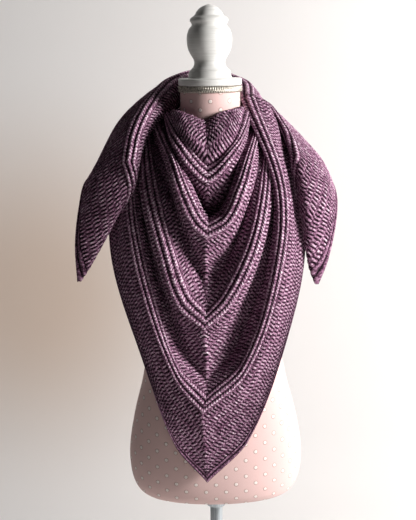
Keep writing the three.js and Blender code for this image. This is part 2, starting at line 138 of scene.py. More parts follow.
# t down the spine | tip x y z | left arm out at 0.12 0.4 0.7 of its rise | right arm the same |
# left end x y z | right end x y z | how long an arm stays forward | how far it sinks back beside the spine
frontFolds = np.array([
    (6, -10, -64, -65, -12, -16, -20, -8, -5, -2, -24, -62, -61, 2, -61, -57, 1.6, 0),
    (30, -9, -80, -76, -15, -25, -34, -3, 6, 14, -42, -54, -54, 20, -54, -46, 1.8, 0),
    (55, -8, -99, -100, -18, -36, -50, 2, 18, 32, -60, -42, -48, 41, -41, -42, 2, 0),
    (72, -8, -110, -128, -20, -42, -60, 6, 31, 47, -71, -30, -47, 56, -28, -40, 2.2, 0),
    (81, -8, -105, -142, -20, -39, -59, 13, 38, 53, -75, -24, -50, 64, -22, -47, 2.4, 0),
    (119, -8, -121, -180, -27, -54, -73, 12, 38, 58, -83, -8, -60, 74, -6, -63, 2.6, 0),
    (150, -8, -112, -214, -16, -40, -63, 17, 39, 58, -85, 0, -74, 74, 0, -74, 3.2, 4),
    (178, -7, -103, -240, -14, -36, -60, 10, 33, 52, -88, 0, -82, 75, 0, -82, 3.7, 7),
    (206, -6, -106, -264, -14, -34, -58, 8, 32, 52, -92, 0, -85, 79, 0, -84, 3.8, 4),
    (230, -6, -124, -257, -17, -36, -62, 18, 38, 56, -97, 0, -81, 82, 0, -80, 3.6, 4),
    (250, -7, -133, -240, -20, -41, -66, 23, 42, 60, -101, 0, -76, 84, 0, -78, 3.2, 2),
    (262, -8, -140, -245, -22, -45, -70, 24, 44, 63, -105, 0, -72, 87, 0, -77, 3.1, 0),
    (299, -12, -147, -274, -37, -61, -77, 28, 57, 75, -110, 0, -70, 93, 0, -80, 3.1, 0),
    (336, -14, -132, -314, -34, -62, -79, 28, 60, 81, -111, 0, -85, 95, 0, -88, 3.5, 20),
    (372, -14, -124, -347, -38, -65, -84, 22, 60, 80, -113, 0, -90, 97, 0, -91, 3.9, 30),
    (410, -14, -131, -382, -33, -66, -91, 18, 57, 82, -117, 0, -86, 99, 0, -89, 3.5, 10),
    (441, -13, -138, -411, -45, -76, -100, 20, 64, 88, -121, 0, -78, 101, 0, -86, 3.2, 0),
    (479, -19, -141, -446, -66, -99, -126, 29, 80, 106, -131, 0, -76, 105, 0, -87, 3.2, 0),
    (520, -16, -127, -491, -58, -101, -128, 28, 84, 111, -134, 0, -86, 109, 0, -92, 3.6, 20),
    (572, -15, -119, -543, -60, -104, -131, 38, 92, 113, -138, 0, -92, 114, 0, -90, 4.2, 28),
    (597, -15, -124, -558, -65, -108, -136, 46, 100, 119, -141, 0, -90, 112, 0, -68, 4.3, 12),
    (621, -16, -130, -573, -70, -112, -140, 53, 105, 119, -144, 0, -84, 66, 0, -33, 4, 4),
    (659, -24, -133, -610, -73, -127, -157, 56, 120, 139, -153, 0, -84, 86, 0, -27, 3.8, 2),
    (704, -22, -124, -656, -82, -140, -172, 64, 134, 150, -162, 0, -98, 106, 0, -38, 3.4, 6),
    (750, -19, -122, -705, -80, -142, -184, 64, 137, 166, -176, 0, -112, 118, 0, -60, 3.1, 8),
    (800, -17, -121, -750, -78, -137, -190, 62, 134, 172, -187, 0, -126, 126, 0, -82, 2.8, 4),
], float)
armHeights = np.array([0, 0.12, 0.4, 0.7, 1])

# along the long edge | inner edge of the folded band x y z | its outer edge | bound hem | tuck inside | bulge
leftTail = np.array([
    (150, 66, 0, -33, 86, 0, -27, 126, 0, -82, 48, 0, -55, 4),
    (206, 56, 44, -6, 76, 54, -4, 108, 64, -70, 8, 2, -42, 2),
    (282, 0, 70, 15, 0, 91, 17, 0, 105, -58, 0, 2, -42, 5),
    (350, -56, 48, 6, -78, 60, 6, -142, 72, -84, 6, 4, -38, 12),
    (425, -94, -6, -26, -119, 4, -26, -186, 24, -106, 8, 4, -28, 14),
    (511, -129, -60, -84, -154, -54, -82, -214, 4, -160, 4, 14, -16, 16),
    (599, -148, -92, -166, -172, -86, -164, -240, -34, -182, 4, 12, -10, 14),
    (651, -174, -101, -217, -190, -98, -216, -250, -54, -222, 3, 8, -3, 10),
    (726, -212, -94, -288, -222, -93, -288, -258, -74, -290, 4, 5, 1, 6),
    (796, -251, -84, -359, -252, -84, -359, -256, -82, -361, 2, 0, 2, 0),
], float)
rightTail = np.array([
    (150, -144, 0, -84, -153, 0, -84, -187, 0, -126, 6, 0, -12, 6),
    (224, -96, 60, -72, -108, 72, -76, -130, 98, -144, 8, -4, -22, 6),
    (310, -8, 113, -74, -6, 125, -80, -4, 138, -156, 0, -6, -20, 6),
    (385, 58, 108, -46, 68, 117, -54, 92, 130, -146, -2, -2, -12, 8),
    (440, 98, 50, -40, 110, 54, -44, 160, 76, -140, -2, 4, -10, 12),
    (496, 134, 4, -82, 146, -2, -88, 206, 26, -162, 0, 6, -14, 12),
    (556, 151, -38, -120, 163, -54, -124, 230, -6, -190, -1, 10, -12, 14),
    (619, 162, -70, -178, 173, -90, -182, 237, -32, -216, -3, 8, -8, 13),
    (675, 171, -88, -238, 181, -98, -240, 234, -50, -258, -2, 3, -2, 10),
    (759, 184, -92, -326, 191, -90, -327, 217, -68, -330, -4, 4, 1, 5),
    (796, 193, -88, -370, 195, -88, -371, 198, -86, -372, -2, 0, 1, 0),
], float)
tailStart = 572     # t of the front's last trough, where a tail's tuck begins
fullestLine = 730   # t of the line between band and hem that bulges most
bulgeRise = 0.6     # how far upwards it swells for each step outwards
lastBand = shawl["bandEnds"][-1]
tailKeys = np.array([tailStart, lastBand - bandWidth * root2, lastBand, fullestLine, shawl["depth"]])


# a smooth curve through values at rising or falling keys; a column of values for each point, or one for all
def smoothThrough(keys, values, at):
    if keys[0] > keys[-1]:
        keys, values = keys[::-1], values[::-1]
    tangents = np.gradient(values, axis=0)
    steps = np.gradient(keys)
    tangents = tangents / steps.reshape([-1] + [1] * (values.ndim - 1))
    i = np.clip(np.searchsorted(keys, at, side="right") - 1, 0, len(keys) - 2)
    pick = (lambda a, n: a[n]) if values.ndim == 1 else (lambda a, n: a[n, np.arange(len(at))])
    span = keys[i + 1] - keys[i]
    u = (at - keys[i]) / span
    start = (2 * u ** 3 - 3 * u ** 2 + 1) * pick(values, i)
    leave = (u ** 3 - 2 * u ** 2 + u) * span * pick(tangents, i)
    end = (3 * u ** 2 - 2 * u ** 3) * pick(values, i + 1)
    arrive = (u ** 3 - u ** 2) * span * pick(tangents, i + 1)
    return start + leave + end + arrive


# a curve through points in space, with u from 0 to 1; it doesn't swing out where two points lie close
def curveThrough(points, u):
    ends = np.vstack([2 * points[0] - points[1], points, 2 * points[-1] - points[-2]])
    place = u * (len(points) - 1)
    i = np.minimum(place.astype(int), len(points) - 2)
    w = (place - i)[:, None]
    a, b, c, d = (ends[i + n] for n in range(4))
    ab, bc, cd = (np.linalg.norm(q - p, axis=1)[:, None] ** 0.5 for p, q in ((a, b), (b, c), (c, d)))
    leave = ((b - a) / ab - (c - a) / (ab + bc) + (c - b) / bc) * bc
    reach = ((c - b) / bc - (d - b) / (bc + cd) + (d - c) / cd) * bc
    return ((2 * w ** 3 - 3 * w ** 2 + 1) * b + (w ** 3 - 2 * w ** 2 + w) * leave
            + (3 * w ** 2 - 2 * w ** 3) * c + (w ** 3 - w ** 2) * reach)


def formAt(z):
    at = np.clip(z, formSections[-1, 0], formSections[0, 0])
    return [smoothThrough(formSections[:, 0], formSections[:, n], at) for n in (1, 2, 3, 4)]


# 0 on the form's surface, below 0 inside it and above 0 outside it
def outsideForm(points):
    half, ahead, behind, square = formAt(points[:, 2])
    depth = np.where(points[:, 1] < 0, ahead, behind)
    across = (np.abs(points[:, 0]) / half) ** square
    through = (np.abs(points[:, 1]) / depth) ** square
    return (across + through) ** (1 / square) - 1


# moves points of the cloth square to the form's surface until they clear it
def clearOfForm(points):
    probe = 0.5
    for step in range(4):
        here = outsideForm(points)
        slope = np.stack([(outsideForm(points + probe * axis) - here) / probe for axis in np.eye(3)], 1)
        steep = np.maximum(np.linalg.norm(slope, axis=1), 1e-6)
        short = np.maximum(shawl["clearance"] - here / steep, 0)
        short[points[:, 2] <= formSections[-1, 0]] = 0
        points = points + slope / steep[:, None] * short[:, None]
    return points


# points of the front: side is -1 on the left and 1 on the right, s runs from the spine to the shoulder
def frontPoints(side, s, t):
    row = [smoothThrough(frontFolds[:, 0], frontFolds[:, n], t) for n in range(18)]
    tip, forward, sinks = row[1:4], row[16], row[17]
    outs, end = (row[4:7], row[10:13]) if side < 0 else (row[7:10], row[13:16])
    up = s ** 1.3
    x = smoothThrough(armHeights, np.array([tip[0], *outs, end[0]]), up)
    y = tip[1] + (end[1] - tip[1]) * up ** forward + sinks * np.sin(np.pi * up ** 0.7)
    z = tip[2] + (end[2] - tip[2]) * up
    return clearOfForm(np.stack([x, y, z], 1))


# a tail's five lines from root to tip: tuck, inner and outer edge of the band, fullest line and hem
def tailSections(table):
    inner, outer, hem = table[:, 1:4], table[:, 4:7], table[:, 7:10]
    full = (outer + hem) / 2
    away = full * (1, 1, 0)
    away = away / np.maximum(np.linalg.norm(away, axis=1), 1e-6)[:, None] + (0, 0, bulgeRise)
    away = away / np.linalg.norm(away, axis=1)[:, None]
    return [inner + table[:, 10:13], inner, outer, full + away * table[:, 13:14], hem]


# points of a tail: u runs from the shoulder to the tip, and key across it as in tailKeys
def tailPoints(sections, u, key):
    lines = np.array([curveThrough(line, u) for line in sections])
    return clearOfForm(np.stack([smoothThrough(tailKeys, lines[:, :, n], key) for n in range(3)], 1))


# where the bars lie along their rows, a little uneven as hand knitting is
def barRows(along, t, lean):
    wave = 1.3 * np.sin(along / 17 + 1.3 * np.sin(t / 23))
    ripple = 1.1 * np.sin(t / 13 + along / 29)
    return along + lean * t / root2 + wave + ripple


# height of the cloth's outer side in millimetres: ropes on an arched band, two ropes in the hem, and plump
# bars elsewhere
def knitLift(t, bars):
    roundness = 0.75
    ends = np.array(shawl["bandEnds"], float)
    last = np.searchsorted(ends, t)
    toBandEnd = (ends[np.minimum(last, len(ends) - 1)] - t) / root2
    toHem = (shawl["depth"] - t) / root2
    below = (zoneWidth - toBandEnd) % zoneWidth
    inBand = (toBandEnd < bandWidth) & (last < len(ends))
    inHem = toHem < shawl["hemWidth"]
    rope = np.abs(np.sin(np.pi * toBandEnd / shawl["ropePitch"])) ** roundness
    hemRope = np.abs(np.sin(np.pi * toHem / (shawl["hemWidth"] / 2))) ** roundness
    arch = np.sin(np.pi * np.clip(toBandEnd / bandWidth, 0, 1))
    band = rope * shawl["ropeHeight"] + arch * shawl["bandArch"]
    # bars lie in blocks, each block half a bar on from the last, and sink where a block ends
    block = below / barLength
    furrow = 1 - np.sin(np.pi * ((bars / shawl["barPitch"] + np.floor(block) * 0.5) % 1))
    fade = np.sin(np.pi * (block % 1)) ** shawl["blockRound"]
    bar = (1 - furrow * fade) * (1 - shawl["blockDip"] + shawl["blockDip"] * fade)
    zone = np.where(inBand, band, bar * shawl["barHeight"])
    return np.where(inHem, hemRope * shawl["hemRopeHeight"], zone)


# a sheet from a grid whose corners are given places: the right side is knitted, the wrong side is plain
def clothSheet(bm, places, knit, name, seam, lean):
    threads = bm.verts.layers.float_vector.new("threads")
    number = bm.verts.layers.int.new("number")
    bars = barRows(knit[:, 0], knit[:, 1], lean)
    lift = knitLift(knit[:, 1], bars)
    rows = np.stack([knit[:, 0], knit[:, 1], bars], 1)
    for n, (vert, place, row) in enumerate(zip(bm.verts, places, rows)):
        vert.co = place * mm
        vert[threads] = row
        vert[number] = n
    bm.normal_update()
    normals = np.array([v.normal[:] for v in bm.verts])
    normals[seam, 1] = 0
    normals /= np.maximum(np.linalg.norm(normals, axis=1), 1e-9)[:, None]
    half = shawl["thickness"] / 2
    rightPlaces = (places + normals * (half + lift)[:, None]) * mm
    wrongPlaces = (places - normals * half) * mm
    made = bmesh.ops.solidify(bm, geom=bm.faces[:], thickness=0)
    wrongFaces = {f for f in made["geom"] if isinstance(f, bmesh.types.BMFace)}
    wrongVerts = {v for f in wrongFaces for v in f.verts}
    for vert in bm.verts:
        vert.co = (wrongPlaces if vert in wrongVerts else rightPlaces)[vert[number]]
    bm.verts.layers.int.remove(bm.verts.layers.int["number"])
    bm.normal_update()
    # cells of the wrong side are joined in a mixed order that favours no direction, the same in each run
    free = [v for v in bm.verts if v.link_faces and all(f in wrongFaces for f in v.link_faces)]
    edges = [e for e in bm.edges if e.link_faces and all(f in wrongFaces for f in e.link_faces)]
    for joined in (free, edges):
        random.Random(1).shuffle(joined)
    bmesh.ops.dissolve_limit(bm, angle_limit=math.radians(shawl["innerAngle"]), verts=free, edges=edges)
    bmesh.ops.triangulate(bm, faces=[f for f in bm.faces if len(f.verts) > 4])
    bmesh.ops.dissolve_degenerate(bm, dist=1e-6, edges=bm.edges[:])
    print(name, "laid out")
    return bm


# levels down the spine for the rows of the mesh: close in the bands and the hem, wider between them
def meshRows(top):
    edges = [top]
    for end in shawl["bandEnds"]:
        edges += [end - bandWidth * root2, end]
    edges += [shawl["depth"] - shawl["hemWidth"] * root2, shawl["depth"]]
    levels = []
    for n, (start, end) in enumerate(zip(edges, edges[1:])):
        spacing = shawl["ropeCell" if n % 2 else "barCell"] * root2
        if start >= top:
            levels += list(np.linspace(start, end, round((end - start) / spacing), endpoint=False))
    return np.array(levels + [shawl["depth"]])


# the front: each row is measured from the spine to the shoulder, and its cells lie even along it
def frontSheet():
    cell = shawl["cell"]
    tRows = meshRows(frontFolds[0, 0])
    rows = len(tRows) - 1
    count = 241
    samples = np.linspace(0, 1, count)
    lengths = {}
    for side in (-1, 1):
        points = frontPoints(side, np.tile(samples, rows + 1), np.repeat(tRows, count))
        steps = np.linalg.norm(np.diff(points.reshape(rows + 1, count, 3), axis=1), axis=2)
        lengths[side] = np.hstack([np.zeros((rows + 1, 1)), np.cumsum(steps, axis=1)])
    leftCells = int(lengths[-1][:, -1].max() / cell) + 1
    rightCells = int(lengths[1][:, -1].max() / cell) + 1
    bm = bmesh.new()
    bmesh.ops.create_grid(bm, x_segments=leftCells + rightCells, y_segments=rows, size=0.5)
    bm.verts.index_update()
    flat = np.array([v.co[:] for v in bm.verts])
    column = np.rint((flat[:, 0] + 0.5) * (leftCells + rightCells)).astype(int) - leftCells
    row = np.rint((0.5 - flat[:, 1]) * rows).astype(int)
    u = column * cell
    full = np.where(column < 0, lengths[-1][row, -1], lengths[1][row, -1])
    spare = np.abs(u) >= full
    outside = [f for f in bm.faces if all(spare[v.index] for v in f.verts)]
    gone = set(outside)
    keep = np.zeros(len(flat), bool)
    keep[[v.index for f in bm.faces if f not in gone for v in f.verts]] = True
    bmesh.ops.delete(bm, geom=outside, context="FACES")
    bmesh.ops.delete(bm, geom=[v for v in bm.verts if not v.link_faces], context="VERTS")
    column, row, spare = column[keep], row[keep], spare[keep]
    u = np.sign(column) * np.minimum(np.abs(u[keep]), full[keep])
    t = tRows[row]
    places = np.zeros((len(u), 3))
    for side in (-1, 1):
        mine = (column < 0) if side < 0 else (column >= 0)
        s = np.array([np.interp(abs(a), lengths[side][r], samples) for a, r in zip(u[mine], row[mine])])
        places[mine] = frontPoints(side, s, t[mine])
    seam = spare & (np.abs(places[:, 1]) < 2)   # ends of rows on the shoulder line, where a tail goes on
    places[:, 2] += neckLevel
    knit = np.stack([np.abs(u) - t / root2, t], 1)
    return clothSheet(bm, places, knit, "shawlFront", seam, shawl["frontLean"])


# a tail: its columns lie even along the band's outer edge, and its rows narrow towards the tip
def tailSheet(table, side, name):
    cell = shawl["cell"]
    sections = tailSections(table)
    fine = np.linspace(0, 1, 600)
    edge = curveThrough(sections[2], fine)
    length = np.concatenate([[0], np.cumsum(np.linalg.norm(np.diff(edge, axis=0), axis=1))])
    columns = int(length[-1] / cell)
    bm = bmesh.new()
    bmesh.ops.create_grid(bm, x_segments=columns, y_segments=shawl["tailCells"], size=0.5)
    flat = np.array([v.co[:] for v in bm.verts]) + 0.5
    share = flat[:, 0] if side > 0 else 1 - flat[:, 0]
    run = share * length[-1]
    u = np.interp(run, length, fine)
    across = shawl["depth"] - tailStart
    key = tailStart + (1 - flat[:, 1]) * across
    along = smoothThrough(np.arange(len(table)) / (len(table) - 1), table[:, 0], u)
    start = np.maximum(tailStart, along)
    t = start + (key - tailStart) / across * (shawl["depth"] - start)
    places = tailPoints(sections, u, key)
    seam = u < 1e-6
    places[:, 2] += neckLevel
    beyondFront = 600   # the tail's stitches count on from about where the front's rows end
    return clothSheet(bm, places, np.stack([run + beyondFront, t], 1), name, seam, shawl["tailLean"])


# hand-knitted wool: heathered plum yarn, matt with a soft sheen; its colour is darkened down in the furrows
# as painted shade and lightened on the crests as painted light
def makeYarn():
    yarn = {
        "furrow": "#0b030a", "shade": "#351c2d", "body": "#7c526d", "bright": "#bc93ad", "fleck": "#f8e4f0",
        "stitch": 6.2,     # length of one stitch along a rope, in mm
        "ply": 2.4,        # width of one strand of the yarn
        "fleckSize": 3.0,
        "roughness": 0.92,
        "sheen": 0.08,
    }
    material, tree, shader = newMaterial("heathered wool yarn, hand knitted", Roughness=yarn["roughness"],
                                         Sheen_Weight=yarn["sheen"], Sheen_Roughness=0.45,
                                         Sheen_Tint=linearColour("#d9b9cc"), Specular_IOR_Level=0.2)
    threads = addNode(tree, "ShaderNodeAttribute", {"attribute_name": "threads"}, {}).outputs["Vector"]
    parts = addNode(tree, "ShaderNodeSeparateXYZ", {}, {0: threads})
    strands = addNode(tree, "ShaderNodeTexNoise", {}, {
        "Vector": threads, "Scale": 1 / yarn["ply"], "Detail": 2.0, "Roughness": 0.6})
    # light and dark fibres spun together, drawn as coarse as a stitch's leg so that they show
    fibres = addNode(tree, "ShaderNodeTexVoronoi", {}, {
        "Vector": threads, "Scale": 1 / yarn["fleckSize"], "Randomness": 1.0})
    heather = addNode(tree, "ShaderNodeSeparateColor", {}, {0: fibres.outputs["Color"]})
    dye = addNode(tree, "ShaderNodeTexNoise", {}, {"Vector": threads, "Scale": 1 / 28, "Detail": 1.0})
    value = {"along": parts.outputs[0], "down": parts.outputs[1], "bars": parts.outputs[2],
             "strands": strands.outputs["Fac"], "heather": heather.outputs[0], "dye": dye.outputs["Fac"]}
    period = shawl["bandEnds"][1] - shawl["bandEnds"][0]
    hemRope = shawl["hemWidth"] / 2
    ropeStep = math.pi / shawl["ropePitch"]
    for name, operation, *inputs in (
            # where the point lies between two bands, in the band itself or in the hem
            ("cycle", "MULTIPLY_ADD", "down", 1 / period, -shawl["bandEnds"][0] / period),
            ("share", "FRACT", "cycle"),
            ("below", "MULTIPLY", "share", zoneWidth),
            ("band", "GREATER_THAN", "below", zoneWidth - bandWidth),
            ("toHem", "MULTIPLY_ADD", "down", -1 / root2, shawl["depth"] / root2),
            ("hem", "LESS_THAN", "toHem", shawl["hemWidth"]),
            # ropes
            ("ropeTurn", "MULTIPLY_ADD", "below", ropeStep, -zoneWidth * ropeStep),
            ("ropeWave", "SINE", "ropeTurn"),
            ("ropeSide", "ABSOLUTE", "ropeWave"),
            ("rope", "POWER", "ropeSide", 0.6),
            ("hemTurn", "MULTIPLY", "toHem", math.pi / hemRope),
            ("hemWave", "SINE", "hemTurn"),
            ("hemSide", "ABSOLUTE", "hemWave"),
            ("hemRope", "POWER", "hemSide", 0.4),
            # legs of the ropes' stitches slant towards each rope's crest
            ("offCrest", "PINGPONG", "ropeTurn", math.pi / 2),
            ("legRun", "MULTIPLY_ADD", "offCrest", 2.2, "along"),
            ("legTurn", "MULTIPLY", "legRun", 1 / yarn["stitch"]),
            ("leg", "PINGPONG", "legTurn", 0.5),
            # bars between the bands lie in blocks, each block half a bar on from the last
            ("block", "MULTIPLY", "below", 1 / barLength),
            ("blockNumber", "FLOOR", "block"),
            ("halfStep", "MULTIPLY", "blockNumber", 0.5),
            ("shift", "FRACT", "halfStep"),
            ("barRun", "MULTIPLY_ADD", "bars", 1 / shawl["barPitch"], "shift"),
            ("barWay", "FRACT", "barRun"),
            ("barTurn", "MULTIPLY", "barWay", math.pi),
            ("crest", "SINE", "barTurn"),
            ("furrow", "SUBTRACT", 1.0, "crest"),
            ("blockWay", "FRACT", "block"),
            ("blockTurn", "MULTIPLY", "blockWay", math.pi),
            ("blockWave", "SINE", "blockTurn"),
            ("fade", "POWER", "blockWave", shawl["blockRound"]),
            ("dash", "MULTIPLY", "furrow", "fade"),
            ("flat", "SUBTRACT", 1.0, "dash"),
            ("plump", "MULTIPLY_ADD", "fade", shawl["blockDip"], 1 - shawl["blockDip"]),
            ("bar", "MULTIPLY", "flat", "plump"),
            # one height for all: bars, then ropes over them, then the hem's ropes
            ("notBand", "SUBTRACT", 1.0, "band"),
            ("barPart", "MULTIPLY", "bar", "notBand"),
            ("zone", "MULTIPLY_ADD", "rope", "band", "barPart"),
            ("notHem", "SUBTRACT", 1.0, "hem"),
            ("zonePart", "MULTIPLY", "zone", "notHem"),
            ("relief", "MULTIPLY_ADD", "hemRope", "hem", "zonePart"),
            ("chain", "MULTIPLY", "leg", "band"),
            ("fine", "MULTIPLY_ADD", "chain", 1.5, "strands"),
            ("height", "MULTIPLY_ADD", "relief", 1.7, "fine"),
            # how light the yarn is: painted shade and light from the relief, darkest in the furrows and
            # between ropes, lightest on crests and stitch legs, with the yarn's real heather and dye on top
            ("toneRelief", "MULTIPLY_ADD", "relief", 0.7, -0.48),
            ("toneFine", "MULTIPLY_ADD", "fine", 0.42, "toneRelief"),
            ("toneHeather", "MULTIPLY_ADD", "heather", 0.42, "toneFine"),
            ("toneDye", "MULTIPLY_ADD", "dye", 0.2, "toneHeather"),
            ("toneBand", "MULTIPLY_ADD", "band", -0.2, "toneDye"),
            ("tone", "MULTIPLY_ADD", "hem", -0.2, "toneBand")):
        value[name] = addNode(tree, "ShaderNodeMath", {"operation": operation},
                              {n: value.get(item, item) for n, item in enumerate(inputs)}).outputs[0]
    # furrow and shade are painted shade colours for furrows and troughs, bright is painted light on the
    # crests as well as light heathered yarn, fleck the pale fibres
    colour = addNode(tree, "ShaderNodeValToRGB", {"stops": [
        (0.1, yarn["furrow"]), (0.3, yarn["shade"]), (0.52, yarn["body"]), (0.75, yarn["bright"]),
        (0.95, yarn["fleck"])]}, {"Fac": value["tone"]})
    bump = addNode(tree, "ShaderNodeBump", {}, {
        "Strength": 1.0, "Distance": 1.5 * mm, "Height": value["height"]})
    tree.links.new(colour.outputs[0], shader.inputs["Base Color"])
    tree.links.new(bump.outputs[0], shader.inputs["Normal"])
    return material


# stretched cotton jersey: fine matt knit with raised pale dots in a diamond lattice, each ringed by painted
# shade
def makeJersey():
    jersey = {"ground": "#e6c5c1", "dot": "#f4e9e4", "dotShadow": "#c29c95", "acrossPitch": 39, "downPitch": 32,
              "dotRadius": 3.6}
    material, tree, shader = newMaterial("stretched cotton jersey with raised dots", Roughness=0.85,
                                         Sheen_Weight=0.15, Sheen_Roughness=0.5, Specular_IOR_Level=0.3)
    place = addNode(tree, "ShaderNodeUVMap", {"uv_map": "jersey"}, {}).outputs[0]
    # distance to the nearest dot's middle; two square lattices, half a pitch apart, make the diamonds
    pitches = (jersey["acrossPitch"], jersey["downPitch"], 0)
    cellsPerMetre = (1000 / jersey["acrossPitch"], 1000 / jersey["downPitch"], 0)
    away = []
    for shift in (0.0, 0.5):
        cells = addNode(tree, "ShaderNodeVectorMath", {"operation": "MULTIPLY_ADD"}, {
            0: place, 1: cellsPerMetre, 2: (0.5 + shift, 0.5 + shift, 0)})
        inCell = addNode(tree, "ShaderNodeVectorMath", {"operation": "FRACTION"}, {0: cells.outputs[0]})
        fromMiddle = addNode(tree, "ShaderNodeVectorMath", {"operation": "SUBTRACT"}, {
            0: inCell.outputs[0], 1: (0.5, 0.5, 0)})
        inMillimetres = addNode(tree, "ShaderNodeVectorMath", {"operation": "MULTIPLY"}, {
            0: fromMiddle.outputs[0], 1: pitches})
        away.append(addNode(tree, "ShaderNodeVectorMath", {"operation": "LENGTH"}, {
            0: inMillimetres.outputs[0]}).outputs["Value"])
    nearest = addNode(tree, "ShaderNodeMath", {"operation": "MINIMUM"}, {0: away[0], 1: away[1]}).outputs[0]
    share = addNode(tree, "ShaderNodeMath", {"operation": "DIVIDE"}, {0: nearest, 1: 2 * jersey["dotRadius"]})
    # the darker ring round each dot is painted shade, the small shadow of the raised dot
    colour = addNode(tree, "ShaderNodeValToRGB", {"stops": [
        (0.42, jersey["dot"]), (0.5, jersey["dotShadow"]), (0.58, jersey["dotShadow"]), (0.68, jersey["ground"])]},
        {"Fac": share.outputs[0]})
    dot = addNode(tree, "ShaderNodeMapRange", {"interpolation_type": "SMOOTHSTEP"}, {
        "Value": share.outputs[0], "From Min": 0.4, "From Max": 0.55,
        "To Min": 1.0, "To Max": 0.0}).outputs[0]
    knit = addNode(tree, "ShaderNodeTexNoise", {}, {"Vector": place, "Scale": 900.0, "Detail": 2.0})
    height = addNode(tree, "ShaderNodeMath", {"operation": "MULTIPLY_ADD"}, {
        0: knit.outputs["Fac"], 1: 0.35, 2: dot})
    bump = addNode(tree, "ShaderNodeBump", {}, {
        "Strength": 0.7, "Distance": 0.8 * mm, "Height": height.outputs[0]})
    tree.links.new(colour.outputs[0], shader.inputs["Base Color"])
    tree.links.new(bump.outputs[0], shader.inputs["Normal"])
    return material


# a hard surface whose colour and height vary a little with a stretched noise
def makeHard(name, stops, stretch, scale, strength, depth, **surface):
    material, tree, shader = newMaterial(name, **surface)
    place = addNode(tree, "ShaderNodeTexCoord", {}, {}).outputs["Object"]
    stretched = addNode(tree, "ShaderNodeMapping", {}, {"Vector": place, "Scale": stretch})
    marks = addNode(tree, "ShaderNodeTexNoise", {}, {
        "Vector": stretched.outputs[0], "Scale": scale, "Detail": 3.0}).outputs["Fac"]
    colour = addNode(tree, "ShaderNodeValToRGB", {"stops": stops}, {"Fac": marks})
    bump = addNode(tree, "ShaderNodeBump", {}, {
        "Strength": strength, "Distance": depth * mm, "Height": marks})
    tree.links.new(colour.outputs[0], shader.inputs["Base Color"])
    tree.links.new(bump.outputs[0], shader.inputs["Normal"])
    return material


wool = makeYarn()
front = finishPiece(frontSheet(), "shawlFront", wool, "shawl_front")
for table, side, name, node in ((leftTail, 1, "shawlTailLeft", "shawl_tail_left"),
                                (rightTail, -1, "shawlTailRight", "shawl_tail_right")):
    finishPiece(tailSheet(table, side, name), name, wool, node)
print("shawl made")


# a smooth profile through a few of its points
def smoothProfile(points, count):
    points = np.array(points, float)
    flat = np.hstack([points, np.zeros((len(points), 1))])
    return [tuple(p) for p in curveThrough(flat, np.linspace(0, 1, count))[:, :2]]


# a piece turned round the form's axis from a profile of radius and height, its sharp edges softened
def turn(profile, z, soften, steps=96):
    bm = bmesh.new()
    verts = [bm.verts.new((radius * mm, 0, (z + height) * mm)) for radius, height in profile]
    edges = [bm.edges.new(pair) for pair in zip(verts, verts[1:])]
    bmesh.ops.spin(bm, geom=verts + edges, cent=(0, 0, 0), axis=(0, 0, 1), angle=2 * math.pi, steps=steps,
                   use_merge=True)
    bmesh.ops.remove_doubles(bm, verts=bm.verts[:], dist=1e-6)
    bmesh.ops.recalc_face_normals(bm, faces=bm.faces[:])
    if soften:
        sharp = math.radians(25)
        corners = [e for e in bm.edges if len(e.link_faces) == 2 and e.calc_face_angle(0) > sharp]
        bmesh.ops.bevel(bm, geom=corners, offset=soften * mm, segments=3, affect="EDGES", profile=0.5,
                        material=-1)
    return bm


form = {
    "around": 144, "levels": 110,     # cells of the body's mesh, round it and down it
    "turnsUnder": -758,               # level where the body rounds in to its underside
    "mainLevels": 0.8,                # share of the levels above that
    "dotLevel": 0.4,                  # height of one row of dots, in m
    "cap": [(0, 0), (59, 0), (60.5, 2), (60.5, 11), (59, 13), (42, 13.5), (41, 16), (40, 24), (38, 29),
            (0, 29)],
    "finialFoot": [(0, 29.3)],
    "finialCurve": [(36, 29.3), (32, 34), (29.5, 40), (30, 47), (35, 56), (40, 66), (42.8, 80), (42.5, 92),
                    (39, 104), (33, 113), (36.5, 121), (34, 126), (28, 130), (23, 138), (14, 146), (0, 151)],
    "finialSteps": 70,
    "braid": [(58.1, -13), (59.4, -11.5), (60.2, -9), (58.8, -6.6), (60.2, -4.4), (59.4, -1.6),
              (58.1, -0.3), (58.1, -13)],
    "braidMiddle": -6.6,              # groove between the braid's two rows of plaits
    "braidSteps": 504,
    "plaits": 84,
    "plaitHeight": 1.4,
    "plaitsFrom": 58.6,               # radius outside which they stand out
}
# turned wood under satin paint: off-white, with faint rings of tool marks
painted = makeHard("satin paint on turned wood", [(0.3, "#dcdcd8"), (0.62, "#ecece9")], (4, 4, 60), 6.0,
                   0.25, 0.4, Roughness=0.45, Coat_Weight=0.12, Coat_Roughness=0.35)
# plaited metallic braid: its colour carries painted silvery glints and painted shade in dark gaps, from the
# same noise that sets its bumps
braided = makeHard("plaited metallic braid", [(0.38, "#6f685f"), (0.6, "#e6dfd2")], (1, 1, 1), 700.0,
                   0.5, 0.4, Metallic=0.5, Roughness=0.42)
# drawn steel tube: bright metal with fine marks along its length
steel = makeHard("bright drawn steel", [(0.3, "#a4adb3"), (0.7, "#d6dde1")], (400, 400, 6), 1.0,
                 0.2, 0.1, Metallic=1.0, Roughness=0.32)
# steel plate under satin enamel: smooth and off-white
enamel = makeHard("satin enamel on steel plate", [(0.3, "#dad9d4"), (0.62, "#e6e5e0")], (4, 4, 60), 6.0,
                  0.25, 0.4, Roughness=0.38, Coat_Weight=0.15, Coat_Roughness=0.3)


